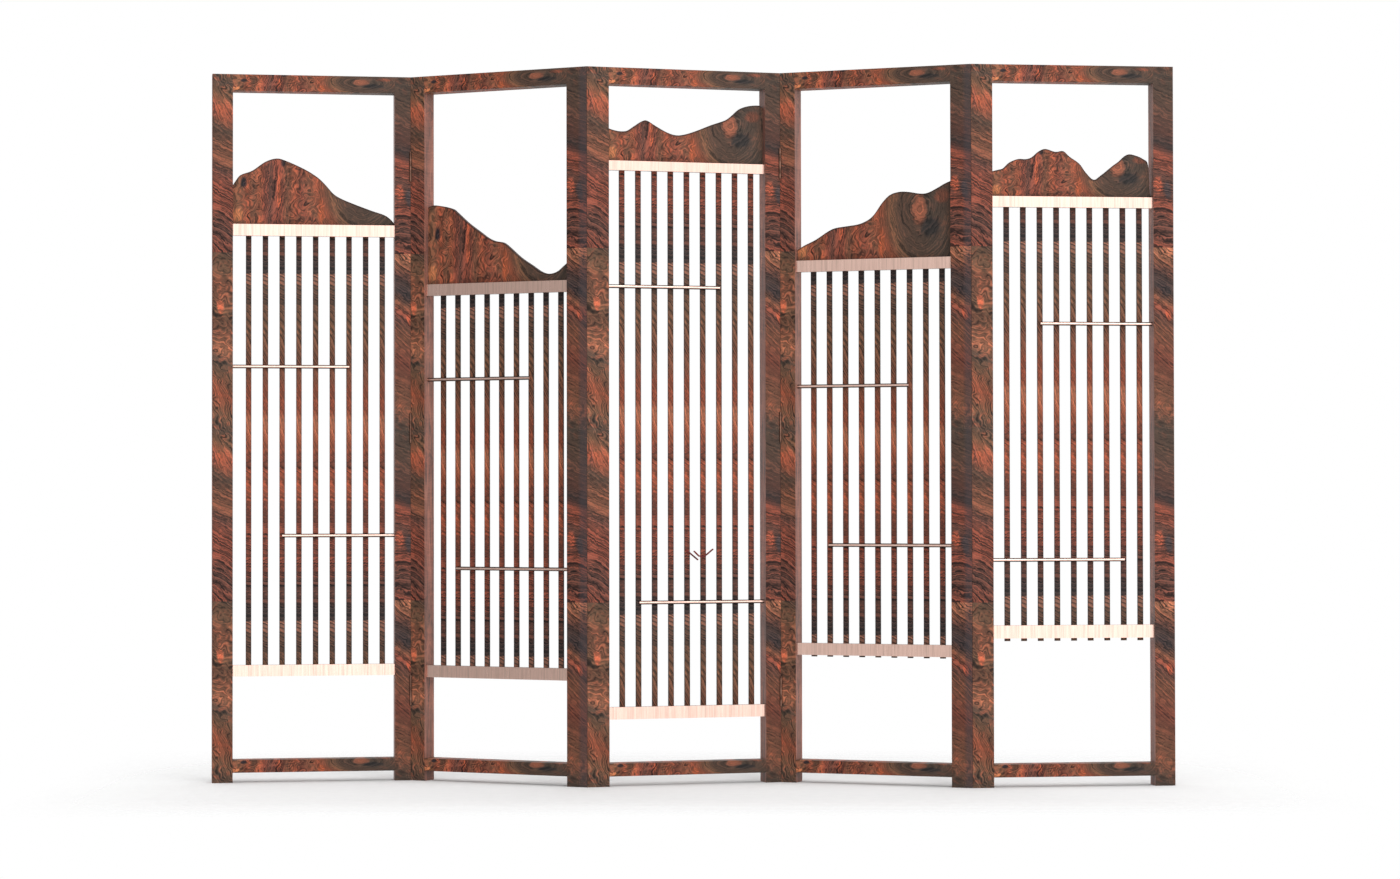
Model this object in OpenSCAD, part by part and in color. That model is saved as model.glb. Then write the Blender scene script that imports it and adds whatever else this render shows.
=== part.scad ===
// Folding screen of five framed panels. Each panel is a rosewood frame that holds upright slats
// between two metal cross bands, two short metal rods and a board cut to a mountain ridge.
// Bevelled frame edges meet at the folds, where butt hinges join the panels.
// Front faces -Y, up is +Z, and the origin is the middle of the footprint on the floor.

/* [Screen] */
// height of the frames from floor to top
screen_h = 1800; // [1500:10:2100]
// length of one panel between its two fold lines
panel_w = 507; // [440:1:620]
// depth of the frames from front to back
frame_t = 48; // [42:1:60]
// how far the two free ends reach past the fold line of their panel
end_lap = 4; // [0:1:12]
// radius of the outer edges at the two free ends
edge_r = 4; // [1:0.5:8]

/* [Folds as the screen stands] */
// turn of the first panel away from the viewer, in degrees
first_turn = 9.3; // [0:0.1:20]
// fold between panels 1 and 2, hinged at the front
fold_1 = 35; // [15:0.5:60]
// fold between panels 2 and 3, hinged at the back
fold_2 = 42.5; // [15:0.5:60]
// fold between panels 3 and 4, hinged at the front
fold_3 = 38; // [15:0.5:60]
// fold between panels 4 and 5, hinged at the back
fold_4 = 28.5; // [15:0.5:60]
// shadow gap between two bevelled edges
fold_gap = 0.6; // [0.5:0.1:2]

/* [Frame] */
// width of a stile from the fold line to its inner edge
stile_w = 48; // [42:1:70]
// height of the top rail
top_rail_h = 42; // [30:1:80]
// height of the bottom rail
bottom_rail_h = 32; // [24:1:60]
// space under the bottom rail
bottom_rail_z = 25.5; // [10:0.5:60]
// thickness of the rail tenons
tenon_t = 16; // [8:1:20]
// length of the rail tenons
tenon_l = 26; // [15:1:28]
// step from the edge of a rail to its tenon
tenon_step = 7; // [4:1:9]

/* [Cross bands] */
// height of the upper cross band, panels 1 to 5
upper_band_h = [29.5, 29.5, 24, 29, 27];
// height of the lower cross band, panels 1 to 5
lower_band_h = [28.5, 30.5, 30.5, 30, 32];
// depth of a cross band from front to back
band_t = 17; // [12:0.5:20]
// how far the bands stand behind the front of the frame
band_set_back = 8; // [4:0.5:10]
// wall of the hollow cross bands
band_wall = 2; // [1.5:0.5:3]
// how far a band end sits in the stile
band_seat = 8; // [4:0.5:12]
// drop from the top of the screen to the underside of the upper band, panels 1 to 5
upper_drop = [410, 562, 257, 507, 355];
// height of the underside of the lower band over the floor, panels 1 to 5
lower_z = [269, 264, 167, 323, 370];

/* [Slats] */
// number of slats in a panel
slat_count = 9; // [5:1:9]
// distance between two slats, centre to centre
slat_pitch = 42.5; // [30:0.5:46]
// how far the row of slats stands to the right of the middle of the panel
slat_shift = 5; // [-8:0.5:8]
// width of a slat
slat_w = 14; // [8:0.5:22]
// thickness of a slat
slat_t = 5; // [3:0.5:8]
// space between the top of a slat and the board over it
slat_top_gap = 1; // [0.5:0.5:4]
// how far the slats reach below the underside of the lower band, panels 1 to 5
slat_tail = [-1, -1, -1, 4.5, 7.5];

/* [Mountain boards] */
// thickness of a mountain board
board_t = 12; // [8:0.5:16]
// how far the boards stand behind the front of the frame
board_set_back = 20; // [18:0.5:22]
// depth of the stile grooves that hold the boards
groove_d = 6; // [3:0.5:10]
// ridge outlines: percent across the opening from the left, mm above the upper band
ridge_1 = [[0, 99], [2, 112], [5, 126], [12, 137], [20, 160], [27, 169], [33, 163], [44, 143],
           [52, 123], [57, 104], [62, 81], [67, 68], [76, 53], [86, 38], [94, 27], [98, 15], [100, 5]];
ridge_2 = [[0, 198], [4, 203], [11, 199], [17, 192], [20, 183], [28, 155], [36, 132], [42, 115],
           [47, 106], [53, 101], [58, 86], [65, 62], [73, 41], [80, 23], [86, 18], [91, 23],
           [95, 35], [100, 51]];
ridge_3 = [[0, 84], [3, 79], [8, 75], [13, 77], [18, 90], [23, 103], [26, 103], [31, 91], [38, 76],
           [44, 69], [50, 72], [58, 83], [67, 98], [76, 111], [80, 122], [85, 140], [90, 148],
           [96, 151], [99, 149], [100, 140]];
ridge_4 = [[0, 28], [4, 38], [12, 53], [20, 73], [25, 81], [33, 85], [40, 89], [46, 99], [50, 113],
           [55, 141], [60, 160], [66, 167], [72, 166], [79, 161], [84, 162], [90, 173], [95, 184],
           [100, 192]];
ridge_5 = [[0, 62], [5, 67], [8, 71], [12, 86], [17, 94], [22, 94], [26, 100], [30, 114], [34, 120],
           [40, 113], [45, 115], [49, 101], [55, 84], [59, 62], [64, 44], [69, 56], [76, 79],
           [80, 91], [85, 108], [90, 106], [95, 97], [98, 82], [99, 12], [100, 5]];
// straight pieces between two ridge points
ridge_steps = 4; // [2:1:6]

/* [Rods] */
// diameter of the rods
rod_d = 9.5; // [6:0.5:14]
// how far a rod end sits in the stile
rod_seat = 10; // [5:1:14]
// height of the upper rod over the floor, panels 1 to 5
upper_rod_z = [1057, 1024, 1252, 1003, 1155];
// height of the lower rod over the floor, panels 1 to 5
lower_rod_z = [626, 542, 458, 601, 565];
// number of the slat that carries the free end of the upper rod, panels 1 to 5
upper_rod_slat = [7, 7, 7, 7, 3];
// number of the slat that carries the free end of the lower rod, panels 1 to 5
lower_rod_slat = [3, 2, 2, 2, 8];

/* [Birds] */
// height of the two birds over the floor
bird_z = 578; // [500:1:650]
// thickness of the birds
bird_t = 4; // [2:0.5:6]
// width of the bars that the birds are made of
bird_bar = 3.5; // [3:0.5:6]

/* [Hinges] */
// height of a hinge
hinge_h = 76; // [60:1:120]
// distance from either end of the screen to the middle of its nearest hinge
hinge_inset = 230; // [150:5:300]
// width of a hinge leaf from the pin axis
leaf_w = 32; // [24:1:38]
// thickness of a hinge leaf
leaf_t = 1.6; // [1.5:0.1:2.5]
// diameter of the hinge knuckles
knuckle_d = 6.4; // [5.6:0.2:10]
// diameter of the hinge pins
pin_d = 3; // [2.5:0.5:5]
// how far the pin axis lies outside the face of the frame
pin_out = 1; // [0.5:0.25:2]

/* [Screws] */
// diameter of a screw shank
screw_d = 3; // [2:0.5:4]
// diameter of a screw head
screw_head_d = 6; // [5:0.5:8]
// height of the cone under a screw head
screw_head_h = 1.5; // [1:0.1:2]
// length of a hinge screw
hinge_screw_l = 16; // [10:1:18]
// length of a slat screw
slat_screw_l = 10; // [8:0.5:14]
// length of a rod screw
rod_screw_l = 9; // [8:0.5:10]

/* [Fits] */
// play around a tenon, band end, board edge or rod end in the frame
seat_play = 0.2; // [0.1:0.05:0.4]
// running play all round a pin in the turning knuckle
pin_play = 0.05; // [0.03:0.01:0.1]
// play between two knuckles along the pin
knuckle_play = 0.4; // [0.2:0.1:1]
// space between a knuckle and the frame or leaf beside it
knuckle_room = 0.4; // [0.3:0.1:1]
// play all round a screw in its hole
screw_play = 0.05; // [0.03:0.01:0.1]

/* [View] */
// one piece by name, or all

/* [Hidden] */
$fn = 48;
half_t = frame_t / 2;
clear_w = panel_w - 2 * stile_w;
last = 4;
fold = [fold_1, fold_2, fold_3, fold_4];
ridges = [ridge_1, ridge_2, ridge_3, ridge_4, ridge_5];
// 1 where a fold is a valley seen from the front, with its hinges in front, and -1 at a ridge
valley = [1, -1, 1, -1];
// the side of each fold whose leaf holds the pins: 1 for the panel on the right
pin_right = [1, 1, 0, 0];
// through cuts reach this far past a face
over = 1;

band_y = -half_t + band_set_back;
slat_y = band_y + band_t;
board_y = -half_t + board_set_back;
rod_y = slat_y - seat_play - rod_d / 2;
upper_z = [for (k = [0:last]) screen_h - upper_drop[k]];
// the upper face of each upper band, where the mountain board stands
board_z = [for (k = [0:last]) upper_z[k] + upper_band_h[k]];
hinge_z = [hinge_inset, screen_h / 2, screen_h - hinge_inset];
screw_rows = [-hinge_h / 3, 0, hinge_h / 3];
// hinge screws stand in a zigzag at a third and two thirds of the leaf
leaf_screw_y = [leaf_w * 0.72, leaf_w * 0.38, leaf_w * 0.72];

// ---------- where the panels stand ----------

function heading(k) = k == 0 ? first_turn : heading(k - 1) - valley[k - 1] * fold[k - 1];
function fold_point(k) = k == 0 ? [0, 0]
  : fold_point(k - 1) + panel_w * [cos(heading(k - 1)), sin(heading(k - 1))];
function on_floor(k, p) = fold_point(k)
  + [p[0] * cos(heading(k)) - p[1] * sin(heading(k)), p[0] * sin(heading(k)) + p[1] * cos(heading(k))];
// distance from fold line j to the bevelled edge, at depth y behind the middle of the frame
function bevel(j, y) = -valley[j] * y * tan(fold[j] / 2) + fold_gap / 2 / cos(fold[j] / 2);

end_round = [for (y = [-1, 1]) [-end_lap + edge_r, y * (half_t - edge_r)]];
end_round_2 = [for (y = [-1, 1]) [panel_w + end_lap - edge_r, y * (half_t - edge_r)]];
end_points = concat([for (p = end_round) on_floor(0, p)], [for (p = end_round_2) on_floor(last, p)]);
bevel_points = [for (j = [0:last - 1]) for (y = [-half_t, half_t]) on_floor(j + 1, [bevel(j, y), y])];
bevel_points_2 = [for (j = [0:last - 1]) for (y = [-half_t, half_t]) on_floor(j, [panel_w - bevel(j, y), y])];
corners = concat(bevel_points, bevel_points_2);
low = [min([for (p = end_points) p[0]]) - edge_r,
       min(min([for (p = corners) p[1]]), min([for (p = end_points) p[1]]) - edge_r)];
high = [max([for (p = end_points) p[0]]) + edge_r,
        max(max([for (p = corners) p[1]]), max([for (p = end_points) p[1]]) + edge_r)];
middle = (low + high) / 2;

module panel(k) {
  translate([fold_point(k)[0] - middle[0], fold_point(k)[1] - middle[1], 0])
    rotate([0, 0, heading(k)])
      children();
}

// one side of a panel, drawn with x running from its fold line into the panel
module side(k, right) {
  panel(k)
    translate([right ? panel_w : 0, 0, 0])
      mirror([right ? 1 : 0, 0, 0])
        children();
}

// the pin line of fold j on one side: x runs into the panel, y along the bevel away from the pin
module at_pin(j) {
  mirror([0, valley[j] == 1 ? 0 : 1, 0])
    translate([(half_t + pin_out) * tan(fold[j] / 2), -half_t - pin_out, 0])
      rotate([0, 0, fold[j] / 2])
        children();
}

// ---------- screws ----------

// head flush at z = 0, shank towards +z
module screw(l) {
  cylinder(h = screw_head_h, d1 = screw_head_d, d2 = screw_d);
  cylinder(h = l - screw_d, d = screw_d);
  translate([0, 0, l - screw_d]) cylinder(h = screw_d, d1 = screw_d, d2 = screw_d / 3);
}

module screw_hole(l) {
  play = 2 * screw_play;
  cylinder(h = screw_head_h, d1 = screw_head_d + play, d2 = screw_d + play);
  translate([0, 0, -over]) cylinder(h = over, d = screw_head_d + play);
  cylinder(h = l + screw_play, d = screw_d + play);
}

// the screws of one side at its fold
module hinge_screw_places(j) {
  at_pin(j)
    for (z = hinge_z) for (i = [0:2])
      translate([fold_gap / 2, leaf_screw_y[i], z + screw_rows[i]])
        rotate([0, 90, 0])
          children();
}

// the screws that hold the slats of panel k to its bands, driven from the back
module slat_screw_places(k) {
  for (z = band_middles(k)) for (i = [1:slat_count])
    translate([slat_x(i), slat_y + slat_t, z])
      rotate([90, 0, 0])
        children();
}

// each rod is screwed to the slat before the one that carries its free end
module rod_screw_places(k) {
  for (upper = [0, 1])
    translate([slat_x(rod_screw_slat(k, upper)), slat_y + slat_t, rod_z(k, upper)])
      rotate([90, 0, 0])
        children();
}

module panel_screws(k) {
  color([0.42, 0.36, 0.3]) {
    if (k > 0) side(k, false) hinge_screw_places(k - 1) screw(hinge_screw_l);
    if (k < last) side(k, true) hinge_screw_places(k) screw(hinge_screw_l);
    panel(k) slat_screw_places(k) screw(slat_screw_l);
    panel(k) rod_screw_places(k) screw(rod_screw_l);
  }
}

// ---------- frame ----------

function rod_slat(k, upper) = upper == 1 ? upper_rod_slat[k] : lower_rod_slat[k];
function rod_z(k, upper) = upper == 1 ? upper_rod_z[k] : lower_rod_z[k];
// a rod starts in the right stile when its free end lies on the slats left of the middle
function rod_right(k, upper) = rod_slat(k, upper) <= slat_count / 2;
function rod_screw_slat(k, upper) = rod_slat(k, upper) + (rod_right(k, upper) ? 1 : -1);
function slat_x(i) = panel_w / 2 + slat_shift + (i - (slat_count + 1) / 2) * slat_pitch;
function band_middles(k) = [lower_z[k] + lower_band_h[k] / 2, upper_z[k] + upper_band_h[k] / 2];
function fold_at(k, right) = right ? k : k - 1;
function is_free(k, right) = (k == 0 && !right) || (k == last && right);
function edge_top(k, right) = board_z[k]
  + (right ? ridges[k][len(ridges[k]) - 1][1] : ridges[k][0][1]);

module free_stile_plan() {
  translate([edge_r - end_lap, -half_t]) square([stile_w + end_lap - edge_r, frame_t]);
  translate([-end_lap, edge_r - half_t]) square([edge_r, frame_t - 2 * edge_r]);
  for (p = end_round) translate(p) circle(r = edge_r);
}

module folding_stile_plan(j) {
  polygon([[bevel(j, -half_t), -half_t], [stile_w, -half_t], [stile_w, half_t], [bevel(j, half_t), half_t]]);
}

module mortise(z, h) {
  translate([stile_w - tenon_l - seat_play, -tenon_t / 2 - seat_play, z - seat_play])
    cube([tenon_l + seat_play + over, tenon_t + 2 * seat_play, h + 2 * seat_play]);
}

module band_housing(z, h) {
  translate([stile_w - band_seat - seat_play, band_y - seat_play, z - seat_play])
    cube([band_seat + seat_play + over, band_t + 2 * seat_play, h + 2 * seat_play]);
}

module board_groove(k, right) {
  foot = board_z[k] - seat_play;
  translate([stile_w - groove_d - seat_play, board_y - seat_play, foot])
    cube([groove_d + seat_play + over, board_t + 2 * seat_play, edge_top(k, right) + seat_play - foot]);
}

module rod_socket(k, right) {
  for (upper = [0, 1])
    if (rod_right(k, upper) == right)
      translate([stile_w - rod_seat - seat_play, rod_y, rod_z(k, upper)])
        rotate([0, 90, 0])
          cylinder(h = rod_seat + seat_play + over, d = rod_d + 2 * seat_play);
}

module hinge_pocket(j) {
  at_pin(j)
    for (z = hinge_z) translate([0, 0, z - hinge_h / 2 - seat_play]) {
      cylinder(h = hinge_h + 2 * seat_play, r = knuckle_d / 2 + knuckle_room);
      cube([fold_gap / 2 + leaf_t, leaf_w + seat_play, hinge_h + 2 * seat_play]);
    }
}

module stile(k, right) {
  color([0.47, 0.24, 0.16])
    side(k, right)
      difference() {
        linear_extrude(screen_h)
          if (is_free(k, right)) free_stile_plan(); else folding_stile_plan(fold_at(k, right));
        mortise(bottom_rail_z + tenon_step, bottom_rail_h - 2 * tenon_step);
        mortise(screen_h - top_rail_h + tenon_step, top_rail_h - 2 * tenon_step);
        band_housing(lower_z[k], lower_band_h[k]);
        band_housing(upper_z[k], upper_band_h[k]);
        board_groove(k, right);
        rod_socket(k, right);
        if (!is_free(k, right)) {
          hinge_pocket(fold_at(k, right));
          hinge_screw_places(fold_at(k, right)) screw_hole(hinge_screw_l);
        }
      }
}

module rail(k, z, h) {
  color([0.45, 0.23, 0.16])
    panel(k) {
      translate([stile_w, -half_t, z]) cube([clear_w, frame_t, h]);
      translate([stile_w - tenon_l, -tenon_t / 2, z + tenon_step])
        cube([clear_w + 2 * tenon_l, tenon_t, h - 2 * tenon_step]);
    }
}

module top_rail(k) rail(k, screen_h - top_rail_h, top_rail_h);

module bottom_rail(k) rail(k, bottom_rail_z, bottom_rail_h);

// ---------- infill ----------

module band(k, z, h) {
  start = stile_w - band_seat;
  length = clear_w + 2 * band_seat;
  difference() {
    translate([start, band_y, z]) cube([length, band_t, h]);
    translate([start - over, band_y + band_wall, z + band_wall])
      cube([length + 2 * over, band_t - 2 * band_wall, h - 2 * band_wall]);
    slat_screw_places(k) screw_hole(slat_screw_l);
  }
}

module cross_bands(k) {
  color([0.86, 0.74, 0.66])
    panel(k) {
      band(k, lower_z[k], lower_band_h[k]);
      band(k, upper_z[k], upper_band_h[k]);
    }
}

module slats(k) {
  foot = lower_z[k] - slat_tail[k];
  color([0.38, 0.19, 0.14])
    panel(k)
      for (i = [1:slat_count])
        difference() {
          translate([slat_x(i) - slat_w / 2, slat_y, foot])
            cube([slat_w, slat_t, board_z[k] - slat_top_gap - foot]);
          for (z = band_middles(k))
            translate([slat_x(i), slat_y + slat_t, z])
              rotate([90, 0, 0])
                screw_hole(slat_screw_l);
          for (upper = [0, 1])
            if (rod_screw_slat(k, upper) == i)
              translate([slat_x(i), slat_y + slat_t, rod_z(k, upper)])
                rotate([90, 0, 0])
                  screw_hole(rod_screw_l);
        }
}

module rod(k, upper) {
  right = rod_right(k, upper);
  free_end = right ? panel_w - slat_x(rod_slat(k, upper)) : slat_x(rod_slat(k, upper));
  difference() {
    translate([right ? panel_w : 0, 0, 0])
      mirror([right ? 1 : 0, 0, 0])
        translate([stile_w - rod_seat, rod_y, rod_z(k, upper)])
          rotate([0, 90, 0])
            cylinder(h = free_end - stile_w + rod_seat, d = rod_d);
    translate([slat_x(rod_screw_slat(k, upper)), slat_y + slat_t, rod_z(k, upper)])
      rotate([90, 0, 0])
        screw_hole(rod_screw_l);
  }
}

module rods(k) {
  color([0.84, 0.72, 0.64])
    panel(k) {
      rod(k, 0);
      rod(k, 1);
    }
}

function curve(a, b, c, d, t) = 0.5 * (2 * b + (c - a) * t
  + (2 * a - 5 * b + 4 * c - d) * t * t + (3 * b - a - 3 * c + d) * t * t * t);
function clamped(i, n) = max(0, min(n, i));
function ridge_mm(k) = [for (p = ridges[k]) [stile_w + clear_w * p[0] / 100, p[1]]];
function ridge_curve(p) = let (n = len(p) - 1)
  [for (i = [0:n - 1]) for (q = [0:ridge_steps - 1])
    curve(p[clamped(i - 1, n)], p[i], p[i + 1], p[clamped(i + 2, n)], q / ridge_steps)];

module mountain_board(k) {
  p = ridge_mm(k);
  end = p[len(p) - 1];
  color([0.5, 0.26, 0.17])
    panel(k)
      translate([0, board_y + board_t, board_z[k]])
        rotate([90, 0, 0])
          linear_extrude(board_t)
            polygon(concat(
              [[stile_w - groove_d, 0], [stile_w - groove_d, p[0][1]]],
              ridge_curve(p),
              [end, [panel_w - stile_w + groove_d, end[1]], [panel_w - stile_w + groove_d, 0]]));
}

// one bar of a bird between two points of the panel face, with round ends
module bird_stroke(a, b) {
  hull() {
    translate(a) circle(d = bird_bar);
    translate(b) circle(d = bird_bar);
  }
}

// wing tips and bodies of the birds, measured from the middle of the slat that carries each one
right_bird = [[-24.5, 7.5], [-12.5, -4], [1, -5], [8, -0.5], [24, 12.5]];
left_bird = [[-3, 11], [26.5, -13]];

module bird(points, slat) {
  for (i = [1:len(points) - 1])
    bird_stroke(points[i - 1] + [slat_x(slat), bird_z], points[i] + [slat_x(slat), bird_z]);
}

module birds() {
  color([0.4, 0.2, 0.14])
    panel(2)
      translate([0, slat_y, 0])
        rotate([90, 0, 0])
          linear_extrude(bird_t) {
            bird(left_bird, 5);
            bird(right_bird, 6);
          }
}

// ---------- hinges ----------

// heights of the knuckles that one leaf carries: two for the leaf with the pin, one for the other
function knuckles(holds_pin) = let (h = hinge_h / 3)
  holds_pin ? [[-hinge_h / 2, h - knuckle_play / 2], [h / 2 + knuckle_play / 2, h - knuckle_play / 2]]
            : [[-h / 2 + knuckle_play / 2, h - knuckle_play]];

module hinge_leaf(holds_pin) {
  bore = holds_pin ? pin_d : pin_d + 2 * pin_play;
  start = knuckle_d / 2 + knuckle_room;
  difference() {
    union() {
      translate([fold_gap / 2, start, -hinge_h / 2]) cube([leaf_t, leaf_w - start, hinge_h]);
      for (q = knuckles(holds_pin)) translate([0, 0, q[0]]) {
        cylinder(h = q[1], d = knuckle_d);
        translate([fold_gap / 2, 0, 0]) cube([leaf_t, start + over, q[1]]);
      }
    }
    translate([0, 0, -hinge_h / 2 - over]) cylinder(h = hinge_h + 2 * over, d = bore);
    for (i = [0:2])
      translate([fold_gap / 2, leaf_screw_y[i], screw_rows[i]])
        rotate([0, 90, 0])
          screw_hole(hinge_screw_l);
  }
}

// the leaves of fold j on the panel to its left or right
module hinge_leaves(j, right_panel) {
  color([0.36, 0.28, 0.22])
    side(right_panel ? j + 1 : j, !right_panel)
      at_pin(j)
        for (z = hinge_z) translate([0, 0, z])
          hinge_leaf((pin_right[j] == 1) == right_panel);
}

module hinge_pins(j) {
  color([0.42, 0.34, 0.27])
    side(j + 1, false)
      at_pin(j)
        for (z = hinge_z) translate([0, 0, z - hinge_h / 2])
          cylinder(h = hinge_h, d = pin_d);
}

stile(0, false);  // panel1_left_stile
stile(0, true);  // panel1_right_stile
top_rail(0);  // panel1_top_rail
bottom_rail(0);  // panel1_bottom_rail
mountain_board(0);  // panel1_mountain_board
cross_bands(0);  // panel1_cross_bands
slats(0);  // panel1_slats
rods(0);  // panel1_rods
panel_screws(0);  // panel1_screws
stile(1, false);  // panel2_left_stile
stile(1, true);  // panel2_right_stile
top_rail(1);  // panel2_top_rail
bottom_rail(1);  // panel2_bottom_rail
mountain_board(1);  // panel2_mountain_board
cross_bands(1);  // panel2_cross_bands
slats(1);  // panel2_slats
rods(1);  // panel2_rods
panel_screws(1);  // panel2_screws
stile(2, false);  // panel3_left_stile
stile(2, true);  // panel3_right_stile
top_rail(2);  // panel3_top_rail
bottom_rail(2);  // panel3_bottom_rail
mountain_board(2);  // panel3_mountain_board
cross_bands(2);  // panel3_cross_bands
slats(2);  // panel3_slats
rods(2);  // panel3_rods
panel_screws(2);  // panel3_screws
stile(3, false);  // panel4_left_stile
stile(3, true);  // panel4_right_stile
top_rail(3);  // panel4_top_rail
bottom_rail(3);  // panel4_bottom_rail
mountain_board(3);  // panel4_mountain_board
cross_bands(3);  // panel4_cross_bands
slats(3);  // panel4_slats
rods(3);  // panel4_rods
panel_screws(3);  // panel4_screws
stile(4, false);  // panel5_left_stile
stile(4, true);  // panel5_right_stile
top_rail(4);  // panel5_top_rail
bottom_rail(4);  // panel5_bottom_rail
mountain_board(4);  // panel5_mountain_board
cross_bands(4);  // panel5_cross_bands
slats(4);  // panel5_slats
rods(4);  // panel5_rods
panel_screws(4);  // panel5_screws
birds();  // panel3_birds
hinge_leaves(0, false);  // fold1_left_leaves
hinge_leaves(0, true);  // fold1_right_leaves
hinge_pins(0);  // fold1_hinge_pins
hinge_leaves(1, false);  // fold2_left_leaves
hinge_leaves(1, true);  // fold2_right_leaves
hinge_pins(1);  // fold2_hinge_pins
hinge_leaves(2, false);  // fold3_left_leaves
hinge_leaves(2, true);  // fold3_right_leaves
hinge_pins(2);  // fold3_hinge_pins
hinge_leaves(3, false);  // fold4_left_leaves
hinge_leaves(3, true);  // fold4_right_leaves
hinge_pins(3);  // fold4_hinge_pins
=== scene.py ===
import math

import bpy
from mathutils import Matrix, Vector

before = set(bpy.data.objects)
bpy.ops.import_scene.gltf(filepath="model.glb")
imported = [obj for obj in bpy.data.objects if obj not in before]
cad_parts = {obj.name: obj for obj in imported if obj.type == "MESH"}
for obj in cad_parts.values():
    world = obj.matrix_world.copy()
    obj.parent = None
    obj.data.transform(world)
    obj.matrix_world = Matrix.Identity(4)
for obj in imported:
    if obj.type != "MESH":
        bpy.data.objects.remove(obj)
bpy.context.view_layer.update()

# ---------- sizes, in metres, as in the CAD ----------

SCREEN_H = 1.8
PANEL_W = 0.507
FRAME_T = 0.048
STILE_W = 0.048
HEADINGS = [9.3, -25.7, 16.8, -21.2, 7.3]
FOLD_POINTS = [(-1.20872, 0.04624), (-0.70838, 0.12818), (-0.25153, -0.09169),
               (0.23383, 0.05485), (0.70652, -0.12849)]
SLAT_PITCH = 0.0425
SLAT_SHIFT = 0.005    # the row of slats stands this far right of the panel's middle
BOARD_Z = [1.4195, 1.2675, 1.567, 1.322, 1.472]     # foot of each mountain board
BOARD_H = [0.169, 0.203, 0.151, 0.192, 0.120]       # height of each mountain board
# ridge of each mountain board, as in the CAD: percent across the opening, mm above the upper band
RIDGES = [
    [(0, 99), (2, 112), (5, 126), (12, 137), (20, 160), (27, 169), (33, 163), (44, 143), (52, 123),
     (57, 104), (62, 81), (67, 68), (76, 53), (86, 38), (94, 27), (98, 15), (100, 5)],
    [(0, 198), (4, 203), (11, 199), (17, 192), (20, 183), (28, 155), (36, 132), (42, 115), (47, 106),
     (53, 101), (58, 86), (65, 62), (73, 41), (80, 23), (86, 18), (91, 23), (95, 35), (100, 51)],
    [(0, 84), (3, 79), (8, 75), (13, 77), (18, 90), (23, 103), (26, 103), (31, 91), (38, 76), (44, 69),
     (50, 72), (58, 83), (67, 98), (76, 111), (80, 122), (85, 140), (90, 148), (96, 151), (99, 149),
     (100, 140)],
    [(0, 28), (4, 38), (12, 53), (20, 73), (25, 81), (33, 85), (40, 89), (46, 99), (50, 113), (55, 141),
     (60, 160), (66, 167), (72, 166), (79, 161), (84, 162), (90, 173), (95, 184), (100, 192)],
    [(0, 62), (5, 67), (8, 71), (12, 86), (17, 94), (22, 94), (26, 100), (30, 114), (34, 120), (40, 113),
     (45, 115), (49, 101), (55, 84), (59, 62), (64, 44), (69, 56), (76, 79), (80, 91), (85, 108),
     (90, 106), (95, 97), (98, 82), (99, 12), (100, 5)]]
CURVE_H = 0.25        # height of a ridge that counts as 1 in its curve node
TOP_RAIL_Z = 1.758
LOW_RAIL_Z = 0.0255
RAIL_H = 0.042
SEAM_LOW = 0.460      # height of the lower veneer seam on the stiles
SLAT_SEAM = [0.409, 0.321, 0.428, 0.375, 0.475]     # the same on the slats of each panel
TILE = 0.886          # length of one veneer sheet
ZONE_FALL = 0.45      # how far the zones of the figure fall to the right on stiles and slats, per metre
OPENING_W = PANEL_W - 2 * STILE_W
FIGURE_H = {"board": 0.165, "rail": 0.075}    # height that the figure of a board or a rail is laid out on
EYE = (0.79, 0.62)    # the eye in this figure: part of the length, part of the height
EYE_W = 0.42          # length and height that the rings round the eye are laid out on
EYE_H = 0.15


# ---------- node helpers ----------

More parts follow.
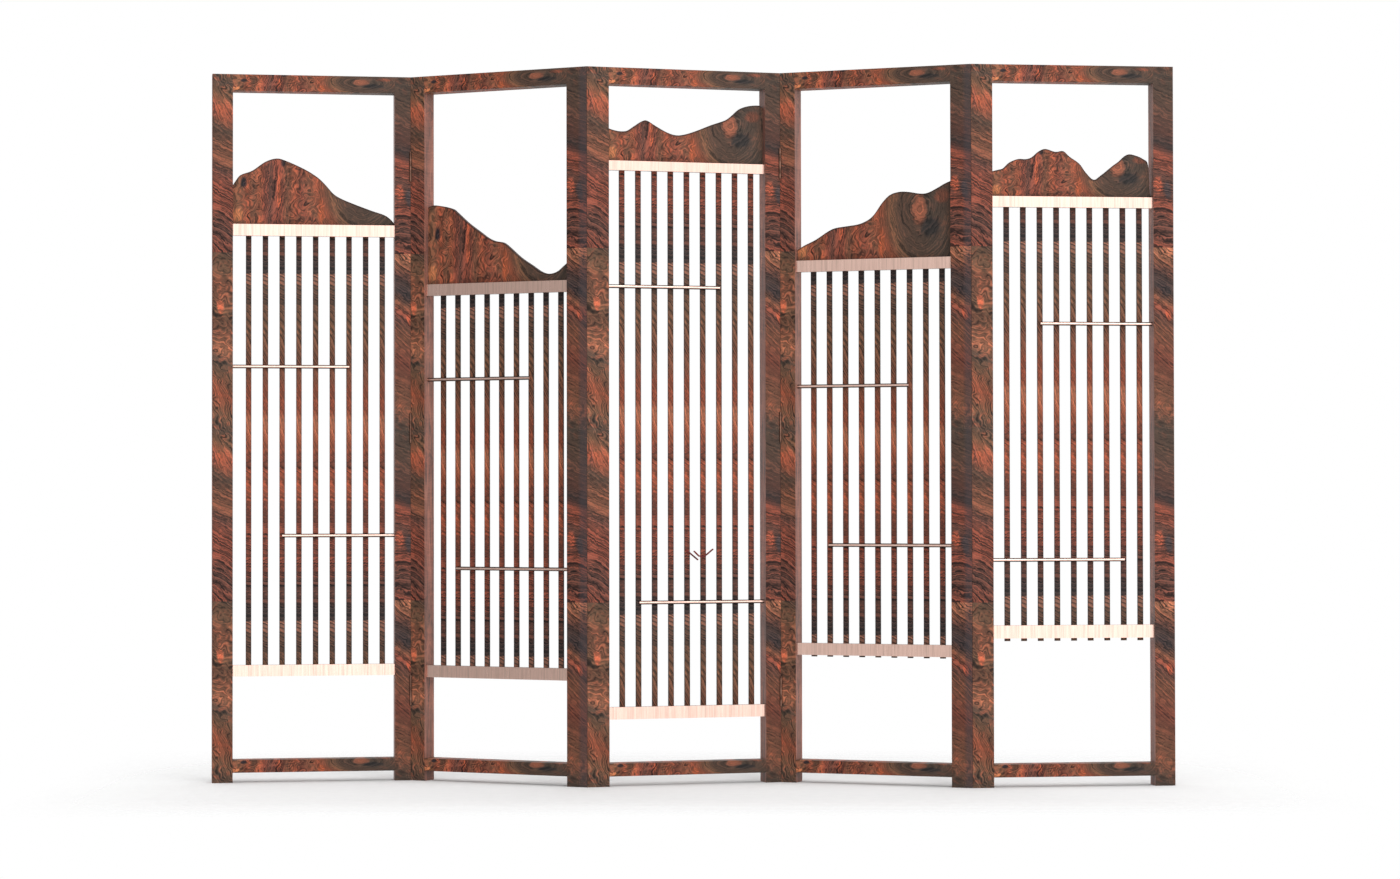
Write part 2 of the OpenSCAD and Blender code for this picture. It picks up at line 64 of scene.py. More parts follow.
class Graph:
    """A short way to write a material's nodes."""

    def __init__(self, name):
        self.material = bpy.data.materials.new(name)
        self.material.use_nodes = True
        self.tree = self.material.node_tree
        self.tree.nodes.clear()

    def node(self, kind, **settings):
        n = self.tree.nodes.new(kind)
        for key, value in settings.items():
            setattr(n, key, value)
        return n

    def wire(self, value, socket):
        if isinstance(value, bpy.types.NodeSocket):
            self.tree.links.new(value, socket)
        elif value is not None:
            socket.default_value = value

    def math(self, op, a, b=None, c=None, clamp=False):
        n = self.node("ShaderNodeMath", operation=op, use_clamp=clamp)
        for i, v in enumerate((a, b, c)):
            if v is not None:
                self.wire(v, n.inputs[i])
        return n.outputs[0]

    def vmath(self, op, a, b=None, scale=None):
        n = self.node("ShaderNodeVectorMath", operation=op)
        self.wire(a, n.inputs[0])
        if b is not None:
            self.wire(b, n.inputs[1])
        if scale is not None:
            self.wire(scale, n.inputs["Scale"])
        return n.outputs["Value"] if op == "DOT_PRODUCT" else n.outputs[0]

    def join(self, x, y, z):
        n = self.node("ShaderNodeCombineXYZ")
        for i, v in enumerate((x, y, z)):
            self.wire(v, n.inputs[i])
        return n.outputs[0]

    def split(self, v):
        n = self.node("ShaderNodeSeparateXYZ")
        self.wire(v, n.inputs[0])
        return n.outputs

    def noise(self, vector, scale, detail=3.0, rough=0.5, distortion=0.0, colour=False):
        n = self.node("ShaderNodeTexNoise")
        self.wire(vector, n.inputs["Vector"])
        n.inputs["Scale"].default_value = scale
        n.inputs["Detail"].default_value = detail
        n.inputs["Roughness"].default_value = rough
        n.inputs["Distortion"].default_value = distortion
        return n.outputs["Color"] if colour else n.outputs["Fac"]

    def ramp(self, value, stops, mode="LINEAR"):
        n = self.node("ShaderNodeValToRGB")
        n.color_ramp.interpolation = mode
        while len(n.color_ramp.elements) > 1:
            n.color_ramp.elements.remove(n.color_ramp.elements[-1])
        for i, (at, colour) in enumerate(stops):
            e = n.color_ramp.elements[0] if i == 0 else n.color_ramp.elements.new(at)
            e.position = at
            e.color = colour if len(colour) == 4 else (*colour, 1)
        self.wire(value, n.inputs[0])
        return n.outputs[0]

    def mix(self, factor, a, b, blend="MIX"):
        n = self.node("ShaderNodeMix", data_type="RGBA", blend_type=blend)
        self.wire(factor, n.inputs[0])
        self.wire(a, n.inputs[6])
        self.wire(b, n.inputs[7])
        return n.outputs[2]

    def remap(self, value, low, high, to_low=0.0, to_high=1.0):
        n = self.node("ShaderNodeMapRange")
        for i, v in enumerate((value, low, high, to_low, to_high)):
            self.wire(v, n.inputs[i])
        return n.outputs[0]

    def curve(self, value, points):
        n = self.node("ShaderNodeFloatCurve")
        line = n.mapping.curves[0]
        line.points[0].location = points[0]
        line.points[-1].location = points[-1]
        for at in points[1:-1]:
            line.points.new(*at)
        n.mapping.update()
        self.wire(value, n.inputs["Value"])
        return n.outputs[0]

    def facing(self, k):
        """How far a face looks along the panel: 1 on the side faces of a stile, 0 on its front."""
        heading = math.radians(HEADINGS[k])
        normal = self.node("ShaderNodeTexCoord").outputs["Normal"]
        return self.math("ABSOLUTE", self.vmath("DOT_PRODUCT", normal,
                                                (math.cos(heading), math.sin(heading), 0)))

    def panel_space(self, k):
        """Position in the panel's own axes: x along it from its left fold, y depth, z height."""
        at = self.node("ShaderNodeTexCoord").outputs["Object"]
        m = self.node("ShaderNodeMapping", vector_type="TEXTURE")
        self.wire(at, m.inputs["Vector"])
        m.inputs["Location"].default_value = (*FOLD_POINTS[k], 0)
        m.inputs["Rotation"].default_value = (0, 0, math.radians(HEADINGS[k]))
        return m.outputs[0]

    def finish(self, colour, roughness, metallic=0.0, bump=None, bump_strength=0.1, bump_step=0.001,
               specular=0.5):
        shader = self.node("ShaderNodeBsdfPrincipled")
        shader.inputs["Specular IOR Level"].default_value = specular
        self.wire(colour, shader.inputs["Base Color"])
        self.wire(roughness, shader.inputs["Roughness"])
        shader.inputs["Metallic"].default_value = metallic
        if bump is not None:
            b = self.node("ShaderNodeBump")
            b.inputs["Strength"].default_value = bump_strength
            b.inputs["Distance"].default_value = bump_step
            self.wire(bump, b.inputs["Height"])
            self.wire(b.outputs[0], shader.inputs["Normal"])
        out = self.node("ShaderNodeOutputMaterial")
        self.wire(shader.outputs[0], out.inputs[0])
        return self.material


def rgb(r, g, b):
    """A colour from its 0 to 255 values as seen on a screen."""
    return tuple((c / 255 / 12.92) if c <= 10 else ((c / 255 + 0.055) / 1.055) ** 2.4 for c in (r, g, b))


# ---------- rosewood ----------

INK = rgb(34, 27, 26)
SOOT = rgb(60, 50, 48)
SLATE = rgb(74, 62, 54)
OLIVE = rgb(104, 76, 58)
GREY = rgb(80, 62, 52)
BROWN = rgb(112, 73, 56)
PLUM = rgb(86, 58, 50)
RED = rgb(112, 63, 50)
EMBER = rgb(138, 75, 54)
ORANGE = rgb(150, 84, 60)
TAN = rgb(150, 98, 74)
ROSE = rgb(138, 98, 82)
CLOUD_LIGHT = rgb(150, 86, 64)      # lighter and darker clouds in burl
CLOUD_DARK = rgb(82, 62, 48)
CURL_LIGHT = rgb(176, 118, 90)      # light curls in burl
RIDGE_SHADE = rgb(44, 28, 24)         # painted shade along the sawn ridge of a board
CORNER_SHEEN = rgb(68, 62, 66)      # painted sheen on the corner of a right stile at a ridge fold

# Down one veneer sheet of a left stile, from its lower end (0) to its upper end (1): colour, how much
# burl there is in the figure, and the slope of its streaks, falling to the right, divided by 4.
LEFT_SHEET = [(0.000, RED, 0.0, 0.14), (0.060, PLUM, 0.0, 0.15), (0.130, RED, 0.0, 0.15),
              (0.190, RED, 0.1, 0.14), (0.235, PLUM, 0.2, 0.12), (0.270, BROWN, 0.3, 0.12),
              (0.300, BROWN, 0.2, 0.13), (0.355, GREY, 0.3, 0.2), (0.410, EMBER, 0.8, 0.5),
              (0.450, OLIVE, 0.9, 0.6), (0.490, SLATE, 0.9, 0.5), (0.535, OLIVE, 0.9, 0.7),
              (0.590, EMBER, 0.8, 0.9), (0.645, OLIVE, 0.9, 0.6), (0.685, SLATE, 0.7, 0.2),
              (0.720, TAN, 0.8, 0.1), (0.770, BROWN, 1.0, 0.0), (0.830, OLIVE, 0.9, 0.1),
              (0.865, BROWN, 0.9, 0.1), (0.910, BROWN, 0.9, 0.1), (0.945, OLIVE, 1.0, 0.1),
              (0.975, OLIVE, 1.0, 0.1), (1.000, GREY, 0.6, 0.1)]
# down one veneer sheet of a right stile, as LEFT_SHEET
RIGHT_SHEET = [(0.000, RED, 0.0, 0.01), (0.060, PLUM, 0.0, 0.01), (0.120, RED, 0.0, 0.02),
               (0.165, PLUM, 0.1, 0.03), (0.205, PLUM, 0.1, 0.05), (0.235, RED, 0.1, 0.06),
               (0.262, RED, 0.1, 0.06), (0.290, SOOT, 0.1, 0.08), (0.330, PLUM, 0.1, 0.10),
               (0.430, GREY, 0.1, 0.12), (0.490, SLATE, 0.4, 0.05), (0.550, BROWN, 0.9, 0.05),
               (0.600, BROWN, 0.4, 0.12), (0.680, RED, 0.1, 0.20), (0.760, BROWN, 0.1, 0.24),
               (0.800, PLUM, 0.1, 0.22), (0.828, RED, 0.1, 0.20), (0.852, BROWN, 0.1, 0.19),
               (0.880, SOOT, 0.1, 0.20), (0.905, SOOT, 0.1, 0.19), (0.930, PLUM, 0.1, 0.18),
               (0.960, BROWN, 0.0, 0.18), (0.982, TAN, 0.0, 0.18), (1.000, TAN, 0.0, 0.18)]
# how faint the figure of a right stile is, from its lower end to its upper end
CALM_RIGHT = [(0.00, 0.0), (0.22, 0.0), (0.29, 0.45), (0.47, 0.45), (0.54, 0.1), (0.62, 0.35), (0.76, 0.2),
              (0.82, 0.0)]
# down one veneer sheet of a slat, as LEFT_SHEET
SLAT_SHEET = [(0.000, SOOT, 0.0, 0.01), (0.035, SOOT, 0.0, 0.01), (0.050, PLUM, 0.0, 0.01),
              (0.110, PLUM, 0.0, 0.01), (0.150, RED, 0.0, 0.02), (0.200, RED, 0.0, 0.03),
              (0.245, RED, 0.0, 0.05), (0.270, RED, 0.3, 0.08), (0.320, RED, 0.6, 0.10),
              (0.370, EMBER, 0.4, 0.10), (0.420, EMBER, 0.4, 0.12), (0.470, RED, 0.4, 0.15),
              (0.500, ORANGE, 0.1, 0.6), (0.580, TAN, 0.0, 0.9), (0.610, EMBER, 0.0, 0.6),
              (0.660, EMBER, 0.0, 0.6), (0.700, BROWN, 0.0, 0.6), (0.740, BROWN, 0.0, 0.5),
              (0.820, OLIVE, 0.1, 0.35), (0.860, OLIVE, 0.1, 0.35), (0.930, GREY, 0.1, 0.2),
              (0.965, GREY, 0.2, 0.1), (0.980, ROSE, 0.2, 0.1), (1.000, ROSE, 0.2, 0.1)]
# Along a rail or a board, from its left end to its right end: colour and burl. The slope is 0, because
# the streaks there lean or flow round the eye.
ALONG = [(at, colour, burl, 0.0) for at, colour, burl in (
    (0.000, BROWN, 0.9), (0.030, OLIVE, 1.0), (0.060, BROWN, 1.0), (0.090, EMBER, 1.0), (0.130, BROWN, 0.9),
    (0.165, ORANGE, 0.8), (0.192, RED, 0.1), (0.230, PLUM, 0.0), (0.270, RED, 0.0), (0.300, RED, 0.1),
    (0.335, BROWN, 0.5), (0.380, EMBER, 0.8), (0.420, RED, 0.8), (0.470, BROWN, 0.9), (0.530, EMBER, 0.7),
    (0.570, BROWN, 0.1), (0.600, OLIVE, 0.0), (0.660, GREY, 0.0), (0.720, GREY, 0.1), (0.850, SLATE, 0.1),
    (0.900, SLATE, 0.2), (1.000, GREY, 0.2))]
# soft patches of another colour, in the order in which they are laid on: middle, half size, colour,
# strength, and how much of the figure shows through; middle and size are (level, metres across) on
# stiles and (part of the length, part of the height) on rails and boards
LEFT_SPOTS = [((0.840, -0.008), (0.022, 0.009), rgb(160, 88, 64), 0.90, 1.0),
              ((0.410, 0.010), (0.034, 0.011), rgb(146, 82, 62), 0.50, 1.0),
              ((0.400, -0.021), (0.030, 0.004), rgb(140, 82, 70), 0.40, 1.0)]
RIGHT_SPOTS = [((0.815, 0.014), (0.018, 0.008), rgb(164, 84, 60), 0.75, 1.0),
               ((0.170, -0.012), (0.026, 0.012), rgb(154, 80, 58), 0.75, 1.0),
               ((0.170, 0.012), (0.026, 0.010), rgb(66, 60, 62), 0.80, 1.0),
               ((0.885, 0.0), (0.018, 0.020), rgb(40, 37, 40), 0.50, 1.0)]
ALONG_SPOTS = [(EYE, (0.048, 0.20), rgb(162, 96, 72), 0.72, 0.8),
               ((0.860, 0.40), (0.070, 0.14), rgb(46, 44, 44), 0.85, 1.0),
               ((0.930, 0.80), (0.050, 0.10), rgb(116, 68, 52), 0.70, 1.0),
               ((0.545, 0.18), (0.020, 0.22), rgb(166, 86, 56), 0.80, 1.0),
               ((0.285, 0.48), (0.012, 0.30), rgb(160, 84, 58), 0.75, 1.0),
               ((0.312, 0.94), (0.016, 0.06), rgb(34, 30, 34), 0.90, 1.0),
               ((0.066, 0.64), (0.020, 0.10), rgb(30, 30, 36), 0.95, 1.0),
               ((0.030, 0.14), (0.035, 0.10), rgb(198, 130, 84), 0.35, 1.0)]
# what a streak makes of the colour under it, from the darkest streak (0) to the lightest (1)
GAIN = [(0.00, (0.07, 0.08, 0.09)), (0.22, (0.16, 0.17, 0.18)), (0.40, (0.36, 0.37, 0.37)),
        (0.58, (0.52, 0.50, 0.49)), (0.74, (0.92, 0.71, 0.63)), (1.00, (1.0, 0.87, 0.81))]
# painted reflection on the side faces of the stiles: a plainer, paler colour standing in for the bright
# studio seen in them at a glancing angle
SIDE_SHEEN = [(0.34, rgb(92, 76, 74)), (0.46, rgb(132, 94, 84)), (0.56, rgb(158, 106, 92)),
           (0.66, rgb(176, 122, 106))]
# fine, thick and broad streaks: streaks per metre, detail, roughness, weight
FINE_LINES = (300.0, 1.0, 0.6, 0.56)
THICK_LINES = (130.0, 2.0, 0.6, 0.32)
BROAD_LINES = (36.0, 2.0, 0.5, 0.12)
MEAN_TONE = 0.48      # what calm figure fades to


def rosewood(name, k, role):
    g = Graph(name)
    x, y, z = g.split(g.panel_space(k))
    if role in ("left", "right", "slats"):
        seam = SLAT_SEAM[k] if role == "slats" else SEAM_LOW
        level = g.math("FRACT", g.math("ADD", g.math("DIVIDE", g.math("SUBTRACT", z, seam), TILE), 4.0))
        up = g.math("MULTIPLY", level, TILE)
        if role == "slats":
            slot = g.math("DIVIDE", g.math("SUBTRACT", x, PANEL_W / 2 + SLAT_SHIFT), SLAT_PITCH)
            across = g.math("MULTIPLY", g.math("SUBTRACT", g.math("FRACT", g.math("ADD", slot, 10.5)), 0.5),
                            SLAT_PITCH)
        else:
            middle = STILE_W / 2 if role == "left" else PANEL_W - STILE_W / 2
            across = g.math("SUBTRACT", x, middle)
        here = g.join(across, y, up)
        level = g.math("MULTIPLY_ADD", across, ZONE_FALL / TILE, level)
        sway = 0.045
    else:
        level = g.math("DIVIDE", g.math("SUBTRACT", x, STILE_W), OPENING_W)
        deep = FIGURE_H[role]
        if role == "board":
            high = g.math("DIVIDE", g.math("SUBTRACT", z, BOARD_Z[k]), BOARD_H[k])
        else:
            # the upper half of the panel holds the top rail, the lower half the bottom rail
            base = g.math("MULTIPLY_ADD", g.math("GREATER_THAN", z, SCREEN_H / 2), TOP_RAIL_Z - LOW_RAIL_Z,
                          LOW_RAIL_Z)
            high = g.math("DIVIDE", g.math("SUBTRACT", z, base), RAIL_H)
        here = g.join(g.math("MULTIPLY", level, OPENING_W), y, g.math("MULTIPLY", high, deep))
        sway = 0.035
    stops = {"left": LEFT_SHEET, "right": RIGHT_SHEET, "slats": SLAT_SHEET}.get(role, ALONG)
    wander = g.noise(here, 16.0, 3.0, 0.6)
    pos = g.math("ADD", level, g.math("MULTIPLY", g.math("SUBTRACT", wander, 0.5), sway))
    if role in ("rail", "board"):
        # the dark right part begins along an arc round the eye
        arc = g.math("POWER", g.math("SUBTRACT", high, EYE[1]), 2.0)
        arc = g.math("MULTIPLY", arc, g.remap(level, 0.40, 0.52))
        pos = g.math("MULTIPLY_ADD", arc, -0.24, pos)
    base_colour = g.ramp(pos, [(at, colour) for at, colour, _, _ in stops])
    burl, slope, _ = g.split(g.ramp(pos, [(at, (b, s, 0.0)) for at, _, b, s in stops]))

    # the streaks are contours of a plane that slopes with the figure and is bent by noise
    if role in ("left", "right", "slats"):
        plane = g.math("ADD", up, g.math("MULTIPLY", g.math("MULTIPLY", slope, 4.0), across))
    else:
        lean = g.math("MULTIPLY_ADD", g.math("MULTIPLY", high, deep), -0.16,
                      g.math("MULTIPLY", level, OPENING_W))
        # right of the middle the figure flows round an eye
        eye_x = g.math("MULTIPLY", g.math("SUBTRACT", level, EYE[0]), EYE_W)
        eye_z = g.math("MULTIPLY", g.math("SUBTRACT", high, EYE[1]), EYE_H)
        ring = g.math("SQRT", g.math("ADD", g.math("POWER", eye_x, 2.0), g.math("POWER", eye_z, 2.0)))
        flow = g.remap(level, 0.50, 0.60)
        plane = g.math("ADD", g.math("MULTIPLY", lean, g.math("SUBTRACT", 1.0, flow)),
                       g.math("MULTIPLY", ring, flow))
    bend = g.math("SUBTRACT", g.noise(here, 7.0, 2.0, 0.5), 0.5)
    curl = g.math("SUBTRACT", g.noise(here, 34.0, 3.0, 0.6, 1.6), 0.5)
    contour = g.math("ADD", plane, g.math("MULTIPLY", bend, 0.07))
    contour = g.math("ADD", contour, g.math("MULTIPLY", curl, 0.014))
    # in burl the lines wind round small eyes instead
    swirl = g.noise(here, 26.0, 1.0, 0.4, 0.9)
    wound = g.math("ADD", g.math("MULTIPLY", swirl, 0.048), g.math("MULTIPLY", plane, 0.45))

    def lines(at, offset):
        at = g.join(at, g.math("MULTIPLY", wander, 0.02), offset)
        fine, thick, broad = [g.math("MULTIPLY", g.noise(at, scale, detail, rough), weight)
                              for scale, detail, rough, weight in (FINE_LINES, THICK_LINES, BROAD_LINES)]
        return g.math("ADD", fine, g.math("ADD", thick, broad))

    streaks = lines(contour, 0.0)
    loops = g.math("MULTIPLY_ADD", g.math("SUBTRACT", lines(wound, 3.0), 0.5), 0.82, 0.5)
    tone = g.math("ADD", g.math("MULTIPLY", streaks, g.math("SUBTRACT", 1.0, burl)),
                  g.math("MULTIPLY", loops, burl))
    tone = g.remap(tone, 0.38, 0.62)
    if role in ("rail", "board"):
        # the lines round the eye are faint
        tone = g.math("ADD", tone, g.math("MULTIPLY", g.math("SUBTRACT", MEAN_TONE, tone),
                                          g.math("MULTIPLY", flow, 0.45)))
    if role == "right":
        calm = g.ramp(pos, [(at, (c, c, c)) for at, c in CALM_RIGHT])
        tone = g.math("ADD", tone, g.math("MULTIPLY", g.math("SUBTRACT", MEAN_TONE, tone), calm))
    # burl also changes its colour every few centimetres
    cloud = g.noise(here, 44.0, 2.0, 0.6, 0.8)
    base_colour = g.mix(g.math("MULTIPLY", g.remap(cloud, 0.53, 0.68, 0.0, 0.55), burl), base_colour,
                        (*CLOUD_LIGHT, 1))
    base_colour = g.mix(g.math("MULTIPLY", g.remap(cloud, 0.48, 0.34, 0.0, 0.6), burl), base_colour,
                        (*CLOUD_DARK, 1))
    gain = g.ramp(tone, GAIN)
    colour = g.vmath("SCALE", g.vmath("MULTIPLY", base_colour, gain), scale=2.0)
    # burl: thin dark and light curls round small eyes
    loop = g.math("PINGPONG", g.math("MULTIPLY", wound, 250.0), 1.0)
    dark_curl = g.math("MULTIPLY", g.remap(loop, 0.60, 0.95, 0.0, 0.42), burl)
    colour = g.mix(dark_curl, colour, g.vmath("SCALE", colour, scale=0.32))
    light_curl = g.math("MULTIPLY", g.remap(loop, 0.25, 0.05, 0.0, 0.14), burl)
    colour = g.mix(light_curl, colour, (*CURL_LIGHT, 1))

    def spot(colour, place, middle, size, tint, strength, depth):
        """A soft patch of another colour round the middle; place holds the point's two coordinates."""
        parts = [g.math("POWER", g.math("DIVIDE", g.math("SUBTRACT", v, m), r), 2.0)
                 for v, m, r in zip(place, middle, size)]
        far = g.math("ADD", g.math("SQRT", g.math("ADD", *parts)), g.math("MULTIPLY", curl, 1.2))
        figure = g.mix(depth, (0.5, 0.5, 0.5, 1), gain)
        shade = g.vmath("SCALE", g.vmath("MULTIPLY", figure, tint), scale=2.0)
        return g.mix(g.remap(far, 1.15, 0.65, 0.0, strength), colour, shade)

    if role == "left":
        spots, place = LEFT_SPOTS, (level, across)
    elif role == "right":
        spots, place = RIGHT_SPOTS, (level, across)
    elif role == "slats":
        spots, place = [], None
    else:
        spots, place = ALONG_SPOTS, (level, high)
    for row in spots:
        colour = spot(colour, place, *row)
    if role == "right" and k in (1, 3):
        # painted sheen: the eased corner at a ridge fold is made greyer, standing in for its soft grey
        # reflection
        corner_sheen = g.math("MULTIPLY", g.remap(across, 0.007, 0.017, 0.0, 0.45),
                        g.math("LESS_THAN", y, -FRAME_T / 4))
        colour = g.mix(corner_sheen, colour, (*CORNER_SHEEN, 1))
    if role == "board":
        # painted shade along the sawn ridge: a dark edge standing in for the eased edge turning away from
        # the light
        crest = g.curve(level, [(share / 100, mm / 1000 / CURVE_H) for share, mm in RIDGES[k]])
        under = g.math("SUBTRACT", g.math("MULTIPLY", crest, CURVE_H), g.math("SUBTRACT", z, BOARD_Z[k]))
        colour = g.mix(g.remap(under, 0.0015, 0.0045, 0.85, 0.0), colour, (*RIDGE_SHADE, 1))
    if role == "slats":
        # painted shade on the eased long edges of each slat; the whole slat is also made a little darker
        edge_shade = g.remap(g.math("ABSOLUTE", across), 0.0050, 0.0067, 1.0, 0.45)
        colour = g.vmath("SCALE", colour, scale=g.math("MULTIPLY", edge_shade, 0.89))
    pores = g.noise(here, 520.0, 2.0, 0.6)
    colour = g.mix(g.remap(pores, 0.40, 0.70, 0.0, 0.25), colour, (*INK, 1))
    rough = g.remap(tone, 0.0, 1.0, 0.60, 0.50)
    # the side faces get a paler, plainer colour as painted reflection of the bright studio at a glancing
    # angle, and are planed smoother than the front
    side = g.remap(g.facing(k), 0.70, 0.90)
    if role in ("left", "right"):
        long_grain = g.join(0.0, g.math("MULTIPLY", y, 60.0), g.math("MULTIPLY", z, 6.0))
        side_sheen = g.ramp(g.noise(long_grain, 1.0, 3.0, 0.6, 1.2), SIDE_SHEEN)
        colour = g.mix(g.math("MULTIPLY", side, 0.66), colour, side_sheen)
    rough = g.math("MULTIPLY", rough, g.math("MULTIPLY_ADD", side, -0.12, 1.0))
    return g.finish(colour, rough, bump=tone, bump_strength=0.06, bump_step=0.0005, specular=0.15)


# ---------- metals ----------

# brush marks per metre along the panel, in depth and in height, and how strongly they catch the light
BAND_BRUSH = ((330.0, 30.0, 12.0), 0.30)
ROD_BRUSH = ((14.0, 900.0, 900.0), 0.04)
CHAMPAGNE = [(0.36, (0.70, 0.49, 0.41)), (0.50, (0.88, 0.60, 0.505)), (0.62, (0.97, 0.67, 0.565))]


def champagne(name, k, brush):
    g = Graph(name)
    x, y, z = g.split(g.panel_space(k))
    marks, catch = brush
    fine = g.noise(g.join(*[g.math("MULTIPLY", v, m) for v, m in zip((x, y, z), marks)]), 1.0, 3.0, 0.6)
    slow = g.noise(g.join(g.math("MULTIPLY", x, 160.0), y, g.math("MULTIPLY", z, 3.0)), 1.0, 2.0, 0.5)
    mixed = g.math("ADD", g.math("MULTIPLY", fine, 0.6), g.math("MULTIPLY", slow, 0.4))
    colour = g.ramp(mixed, CHAMPAGNE)
    # painted dark reflection: faces that look up or down are darkened, standing in for the dark
    # surroundings seen in the tops and undersides of bands and rods
    turned = g.split(g.node("ShaderNodeTexCoord").outputs["Normal"])[2]
    dark_reflection = g.remap(g.math("ABSOLUTE", turned), 0.30, 0.50, 1.0, 0.05)
    colour = g.vmath("SCALE", colour, scale=dark_reflection)
    rough = g.remap(mixed, 0.35, 0.65, 0.36, 0.26)
    return g.finish(colour, rough, metallic=1.0, bump=fine, bump_strength=catch, bump_step=0.0005)


def worn_metal(name, dark, light, scale, rough_low, rough_high):
    g = Graph(name)
    at = g.node("ShaderNodeTexCoord").outputs["Object"]
    cloud = g.noise(at, scale, 4.0, 0.6)
    colour = g.ramp(cloud, [(0.35, dark), (0.62, light)])
    rough = g.remap(cloud, 0.3, 0.7, rough_high, rough_low)
    return g.finish(colour, rough, metallic=1.0, bump=g.noise(at, scale * 9, 2.0), bump_strength=0.05,
                    bump_step=0.0002)


def lacquer(name, dark, light):
    g = Graph(name)
    cloud = g.noise(g.node("ShaderNodeTexCoord").outputs["Object"], 110.0, 3.0, 0.6)
    return g.finish(g.ramp(cloud, [(0.38, dark), (0.60, light)]), g.remap(cloud, 0.3, 0.7, 0.50, 0.40),
                    bump=cloud, bump_strength=0.05, bump_step=0.0002, specular=0.2)


bronze = worn_metal("antique_bronze", (0.10, 0.052, 0.038), (0.26, 0.14, 0.10), 60.0, 0.35, 0.55)
steel = worn_metal("bronzed_screw_steel", (0.10, 0.08, 0.065), (0.26, 0.21, 0.17), 180.0, 0.3, 0.45)


def paint(node, material):
    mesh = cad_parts[node].data
    mesh.materials.clear()
    mesh.materials.append(material)
    for face in mesh.polygons:
        face.material_index = 0


for k in range(len(HEADINGS)):
    n = "panel%d_" % (k + 1)
    paint(n + "left_stile", rosewood("rosewood_left_stile_%d" % (k + 1), k, "left"))
    paint(n + "right_stile", rosewood("rosewood_right_stile_%d" % (k + 1), k, "right"))
    rail = rosewood("rosewood_rail_%d" % (k + 1), k, "rail")
    paint(n + "top_rail", rail)
    paint(n + "bottom_rail", rail)
    paint(n + "mountain_board", rosewood("rosewood_board_%d" % (k + 1), k, "board"))
    paint(n + "slats", rosewood("rosewood_slat_%d" % (k + 1), k, "slats"))
    paint(n + "cross_bands", champagne("champagne_band_%d" % (k + 1), k, BAND_BRUSH))
    paint(n + "rods", champagne("champagne_rod_%d" % (k + 1), k, ROD_BRUSH))
    paint(n + "screws", steel)
paint("panel3_birds", lacquer("red_brown_birds", rgb(70, 18, 18), rgb(108, 34, 28)))
for j in range(1, len(HEADINGS)):
    for part in ("left_leaves", "right_leaves", "hinge_pins"):
        paint("fold%d_%s" % (j, part), bronze)


# ---------- floor, light and camera ----------

FLOOR_R = 3.2                 # half the side of the floor
FADE_SIDE = (1.15, 1.62)      # the floor fades out between these distances from the middle
FADE_FRONT = (-0.88, -0.50)
FADE_BACK = (0.20, 1.10)


def make_floor():
    g = Graph("pale_floor")
    at = g.node("ShaderNodeTexCoord").outputs["Object"]
    x, y, _ = g.split(at)
    plain = g.node("ShaderNodeBsdfDiffuse")
    speck = g.noise(at, 30.0, 2.0)
    g.wire(g.ramp(speck, [(0.3, (0.665, 0.665, 0.665)), (0.7, (0.685, 0.685, 0.685))]), plain.inputs[0])
    clear = g.node("ShaderNodeBsdfTransparent")
    # the floor fades into the white backdrop away from the screen
    stays = g.remap(g.math("ABSOLUTE", x), *FADE_SIDE, 1.0, 0.0)
    stays = g.math("MULTIPLY", stays, g.remap(y, *FADE_FRONT, 0.0, 1.0))
    stays = g.math("MULTIPLY", stays, g.remap(y, *FADE_BACK, 1.0, 0.0))
    fade = g.math("SUBTRACT", 1.0, stays)
    blend = g.node("ShaderNodeMixShader")
    g.wire(fade, blend.inputs[0])
    g.wire(plain.outputs[0], blend.inputs[1])
    g.wire(clear.outputs[0], blend.inputs[2])
    out = g.node("ShaderNodeOutputMaterial")
    g.wire(blend.outputs[0], out.inputs[0])
    mesh = bpy.data.meshes.new("floor")
    mesh.from_pydata([(-FLOOR_R, -FLOOR_R, 0), (FLOOR_R, -FLOOR_R, 0), (FLOOR_R, FLOOR_R, 0),
                      (-FLOOR_R, FLOOR_R, 0)], [], [(0, 1, 2, 3)])
    mesh.materials.append(g.material)
    floor = bpy.data.objects.new("floor", mesh)
    bpy.context.scene.collection.objects.link(floor)


make_floor()

world = bpy.data.worlds.new("studio")
bpy.context.scene.world = world
world.use_nodes = True
w = Graph.__new__(Graph)
w.tree = world.node_tree
w.tree.nodes.clear()
toward = w.node("ShaderNodeTexCoord").outputs["Generated"]
wx, wy, wz = w.split(toward)
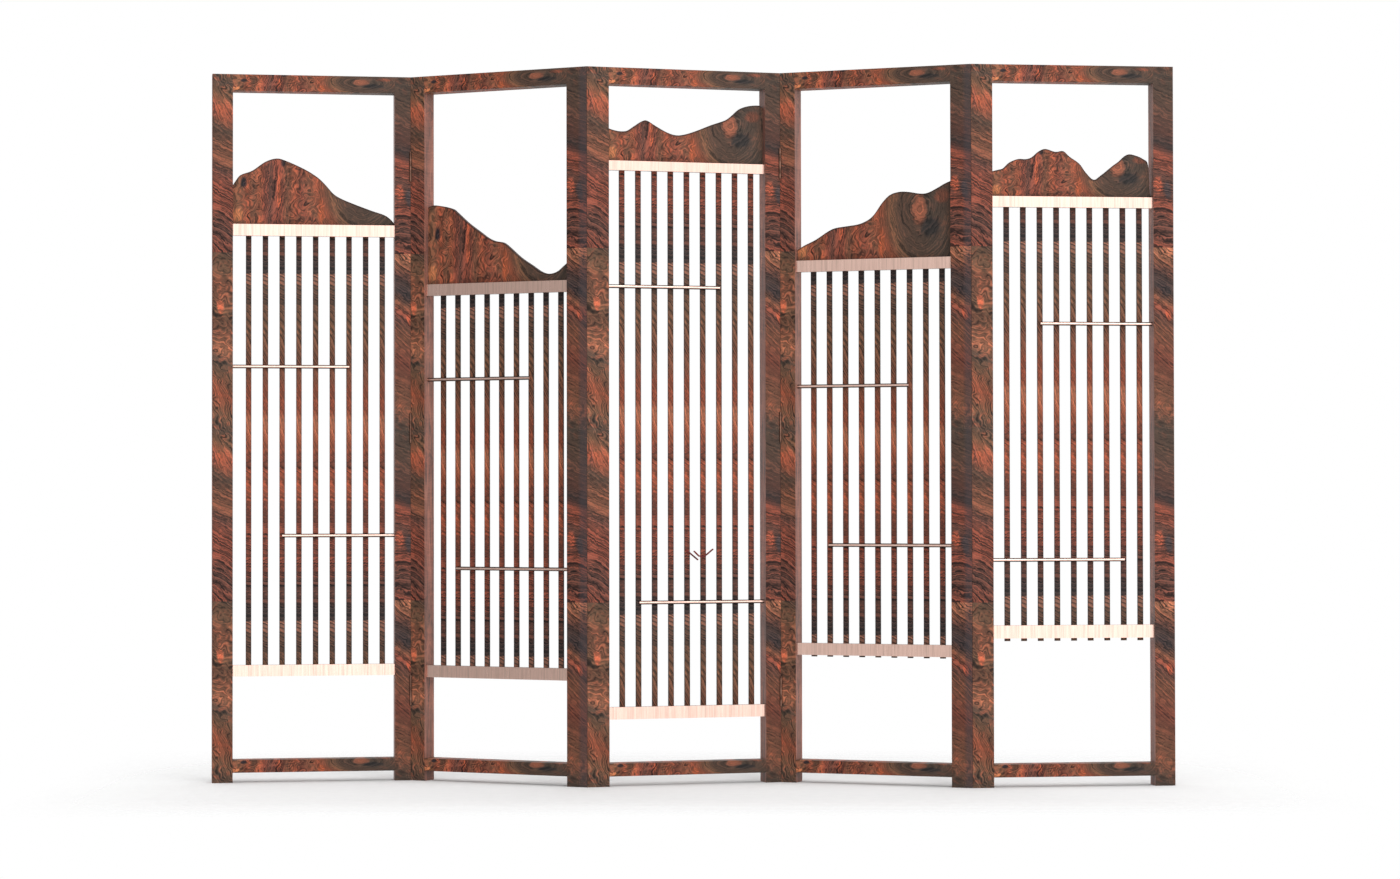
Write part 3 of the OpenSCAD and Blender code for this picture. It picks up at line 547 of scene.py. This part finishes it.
# in front of the screen the studio is bright on the right and dim on the left
FRONT_LEVEL = 1.55
front = w.ramp(w.math("MULTIPLY_ADD", wx, 0.5, 0.5),
               [(0.05, (0.14, 0.14, 0.14)), (0.20, (0.48, 0.48, 0.48)), (0.50, (0.90, 0.90, 0.90)),
                (0.60, (1.08, 1.08, 1.08)), (0.72, (1.05, 1.05, 1.05)), (0.80, (0.76, 0.76, 0.76)),
                (1.00, (0.76, 0.76, 0.76))])
front = w.mix(1.0, front, (FRONT_LEVEL, FRONT_LEVEL, FRONT_LEVEL, 1), "MULTIPLY")
around = w.mix(w.remap(wy, -0.25, 0.30), front, (1.0, 1.0, 1.0, 1))
around = w.vmath("SCALE", around, scale=w.remap(wz, 0.25, 0.85, 1.0, 1.35))
studio = w.node("ShaderNodeBackground")
w.wire(around, studio.inputs[0])
studio.inputs[1].default_value = 1.0
white = w.node("ShaderNodeBackground")
white.inputs[0].default_value = (1, 1, 1, 1)
white.inputs[1].default_value = 1.0
path = w.node("ShaderNodeLightPath")
pick = w.node("ShaderNodeMixShader")
w.wire(path.outputs["Is Camera Ray"], pick.inputs[0])
w.wire(studio.outputs[0], pick.inputs[1])
w.wire(white.outputs[0], pick.inputs[2])
w.wire(pick.outputs[0], w.node("ShaderNodeOutputWorld").inputs[0])


def soft_light(name, spot, target, size, power):
    light = bpy.data.lights.new(name, "AREA")
    light.shape = "SQUARE"
    light.size = size
    light.energy = power
    o = bpy.data.objects.new(name, light)
    o.location = spot
    o.rotation_euler = (Vector(target) - Vector(spot)).to_track_quat("-Z", "Y").to_euler()
    bpy.context.scene.collection.objects.link(o)


soft_light("key", (2.4, -5.2, 5.4), (0, 0, 0.9), 3.0, 110)

# the camera that was fitted to the photo
EYE_AT = (0.0149, -8.5509, 0.7338)
EYE_UP = 0.885       # degrees that it looks up
EYE_ROLL = -0.089    # degrees that it is turned about its line of sight
camera = bpy.data.cameras.new("camera")
camera.sensor_width = 36
camera.lens = 86.939
camera.shift_x = 0.0038
camera.shift_y = 0.0007
camera.clip_end = 100
eye = bpy.data.objects.new("camera", camera)
eye.matrix_world = (Matrix.Translation(EYE_AT)
                    @ Matrix.Rotation(math.radians(90 + EYE_UP), 4, "X")
                    @ Matrix.Rotation(math.radians(EYE_ROLL), 4, "Z"))
bpy.context.scene.collection.objects.link(eye)
bpy.context.scene.camera = eye
bpy.context.scene.view_settings.view_transform = "Standard"
